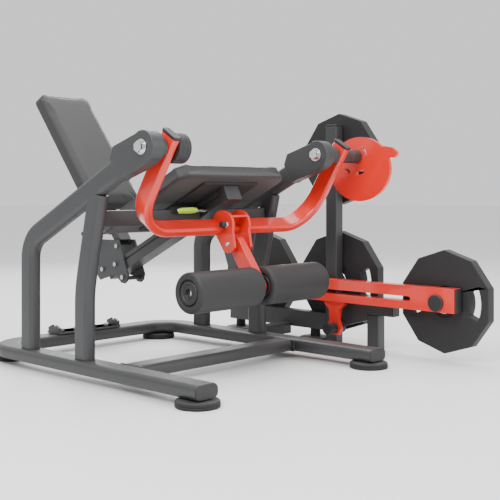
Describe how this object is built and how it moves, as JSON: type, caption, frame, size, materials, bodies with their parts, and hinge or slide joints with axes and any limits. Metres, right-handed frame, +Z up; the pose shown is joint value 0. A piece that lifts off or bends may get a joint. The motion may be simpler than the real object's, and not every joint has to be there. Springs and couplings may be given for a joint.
{
  "type": "plate loaded leg extension machine",
  "caption": "Seated leg exercise machine with a tilted seat, a red swinging yoke with foam shin rollers, and black weight plates on a lever.",
  "frame": {"origin": "centre of the bounding box's underside, on the floor", "axes": "+Z up, +Y towards the back rest, +X towards the side that carries the weight plates"},
  "size_m": [1.545, 1.9134, 1.1585],
  "materials": {
    "frame_charcoal": "satin charcoal powder coat",
    "red_gloss": "gloss red paint",
    "pad_vinyl": "matt black upholstery vinyl",
    "board_wood": "black painted plywood",
    "chrome_steel": "polished chrome plate",
    "foot_rubber": "matt moulded rubber",
    "plate_rubber": "matt rubber coated weight plate",
    "roller_foam": "dense foam with a smooth matt skin",
    "black_plastic": "matt moulded plastic",
    "lime_plastic": "bright lime dipped grip"
  },
  "bodies": {
    "frame": {"base_near_rail": "frame_charcoal", "base_far_rail": "frame_charcoal", "base_front_cross": "frame_charcoal", "foot_front_near": "foot_rubber", "foot_rear_near": "foot_rubber", "foot_front_far": "foot_rubber", "foot_rear_far": "foot_rubber", "rear_saddle_bracket": "frame_charcoal", "near_rear_tube": "frame_charcoal", "near_front_post": "frame_charcoal", "near_clevis": "frame_charcoal", "near_knee_bolt": "chrome_steel", "far_rear_tube": "frame_charcoal", "far_front_post": "frame_charcoal", "far_clevis": "frame_charcoal", "far_knee_bolt": "chrome_steel", "seat_pad": "pad_vinyl", "seat_board": "board_wood", "seat_beam": "frame_charcoal", "seat_cross_near": "frame_charcoal", "seat_cross_far": "frame_charcoal", "support_post": "frame_charcoal", "support_bridge": "frame_charcoal", "storage_floor_rail": "frame_charcoal", "storage_foot_front": "foot_rubber", "storage_foot_rear": "foot_rubber", "storage_front_post": "frame_charcoal", "storage_rear_post": "frame_charcoal", "storage_rail": "frame_charcoal", "storage_horn_upper": "chrome_steel", "storage_horn_lower": "chrome_steel", "storage_horn_rear": "chrome_steel", "lever_pivot_pin": "chrome_steel"},
    "back_rest": {"back_pad": "pad_vinyl", "back_board": "board_wood", "back_carriage": "frame_charcoal"},
    "release": {"back_release_rod": "chrome_steel"},
    "paddle": {"seat_adjuster_paddle": "lime_plastic"},
    "yoke_frame": {"yoke": "red_gloss", "near_pivot_sleeve": "frame_charcoal", "far_pivot_sleeve": "frame_charcoal", "near_pivot_housing": "black_plastic", "cam_drive_tube": "frame_charcoal", "range_cam": "red_gloss", "yoke_clevis": "red_gloss", "arm_pivot_pin": "chrome_steel"},
    "selector": {"arm_selector_pin": "chrome_steel"},
    "shin_arm": {"roller_arm": "red_gloss", "roller_axle": "chrome_steel"},
    "near_roller": {"roller_near": "roller_foam"},
    "far_roller": {"roller_far": "roller_foam"},
    "lever": {"weight_lever": "red_gloss", "lever_horn": "chrome_steel", "lever_drop_bracket": "red_gloss"},
    "lever_disc": {"lever_plate": "plate_rubber"},
    "upper_disc": {"storage_plate_upper": "plate_rubber"},
    "lower_disc": {"storage_plate_lower": "plate_rubber"},
    "rear_disc": {"storage_plate_rear": "plate_rubber"}
  },
  "joints": [
    {"name": "yoke_swing", "type": "hinge", "parent": "frame", "child": "yoke_frame", "pos_m": [-0.1415, -0.36403, 0.84], "axis": [-1, 0, 0], "range_deg": [0, 85]},
    {"name": "lever_swing", "type": "hinge", "parent": "frame", "child": "lever", "pos_m": [0.4995, -0.04903, 0.255], "axis": [-1, 0, 0], "range_deg": [0, 34]},
    {"name": "shin_arm_set", "type": "hinge", "parent": "yoke_frame", "child": "shin_arm", "pos_m": [-0.1415, -0.24403, 0.487], "axis": [1, 0, 0], "range_deg": [-15, 15]},
    {"name": "near_roller_spin", "type": "hinge", "parent": "shin_arm", "child": "near_roller", "pos_m": [-0.3315, -0.34903, 0.327], "axis": [1, 0, 0], "continuous": true},
    {"name": "far_roller_spin", "type": "hinge", "parent": "shin_arm", "child": "far_roller", "pos_m": [0.0485, -0.34903, 0.327], "axis": [1, 0, 0], "continuous": true},
    {"name": "back_slide", "type": "slide", "parent": "frame", "child": "back_rest", "axis": [0, 0.8988, -0.4384], "range_m": [-0.15, 0]},
    {"name": "back_release_pull", "type": "slide", "parent": "back_rest", "child": "release", "axis": [-1, 0, 0], "range_m": [0, 0.02], "stiffness_N_per_m": 400, "springref_m": -0.005},
    {"name": "paddle_turn", "type": "hinge", "parent": "frame", "child": "paddle", "pos_m": [-0.2375, -0.11157, 0.61542], "axis": [1, 0, 0], "range_deg": [0, 20], "stiffness_Nm_per_rad": 1, "springref_deg": -5.73},
    {"name": "arm_selector_pull", "type": "slide", "parent": "yoke_frame", "child": "selector", "axis": [-1, 0, 0], "range_m": [0, 0.018], "stiffness_N_per_m": 400, "springref_m": -0.005},
    {"name": "lever_plate_off", "type": "slide", "parent": "lever", "child": "lever_disc", "axis": [1, 0, 0], "range_m": [0, 0.2]},
    {"name": "upper_plate_off", "type": "slide", "parent": "frame", "child": "upper_disc", "axis": [1, 0, 0], "range_m": [0, 0.2]},
    {"name": "lower_plate_off", "type": "slide", "parent": "frame", "child": "lower_disc", "axis": [1, 0, 0], "range_m": [0, 0.2]},
    {"name": "rear_plate_off", "type": "slide", "parent": "frame", "child": "rear_disc", "axis": [1, 0, 0], "range_m": [0, 0.2]}
  ],
  "couplings": [
    {"joint": "lever_swing", "follows": "yoke_swing", "ratio": 0.4}
  ]
}
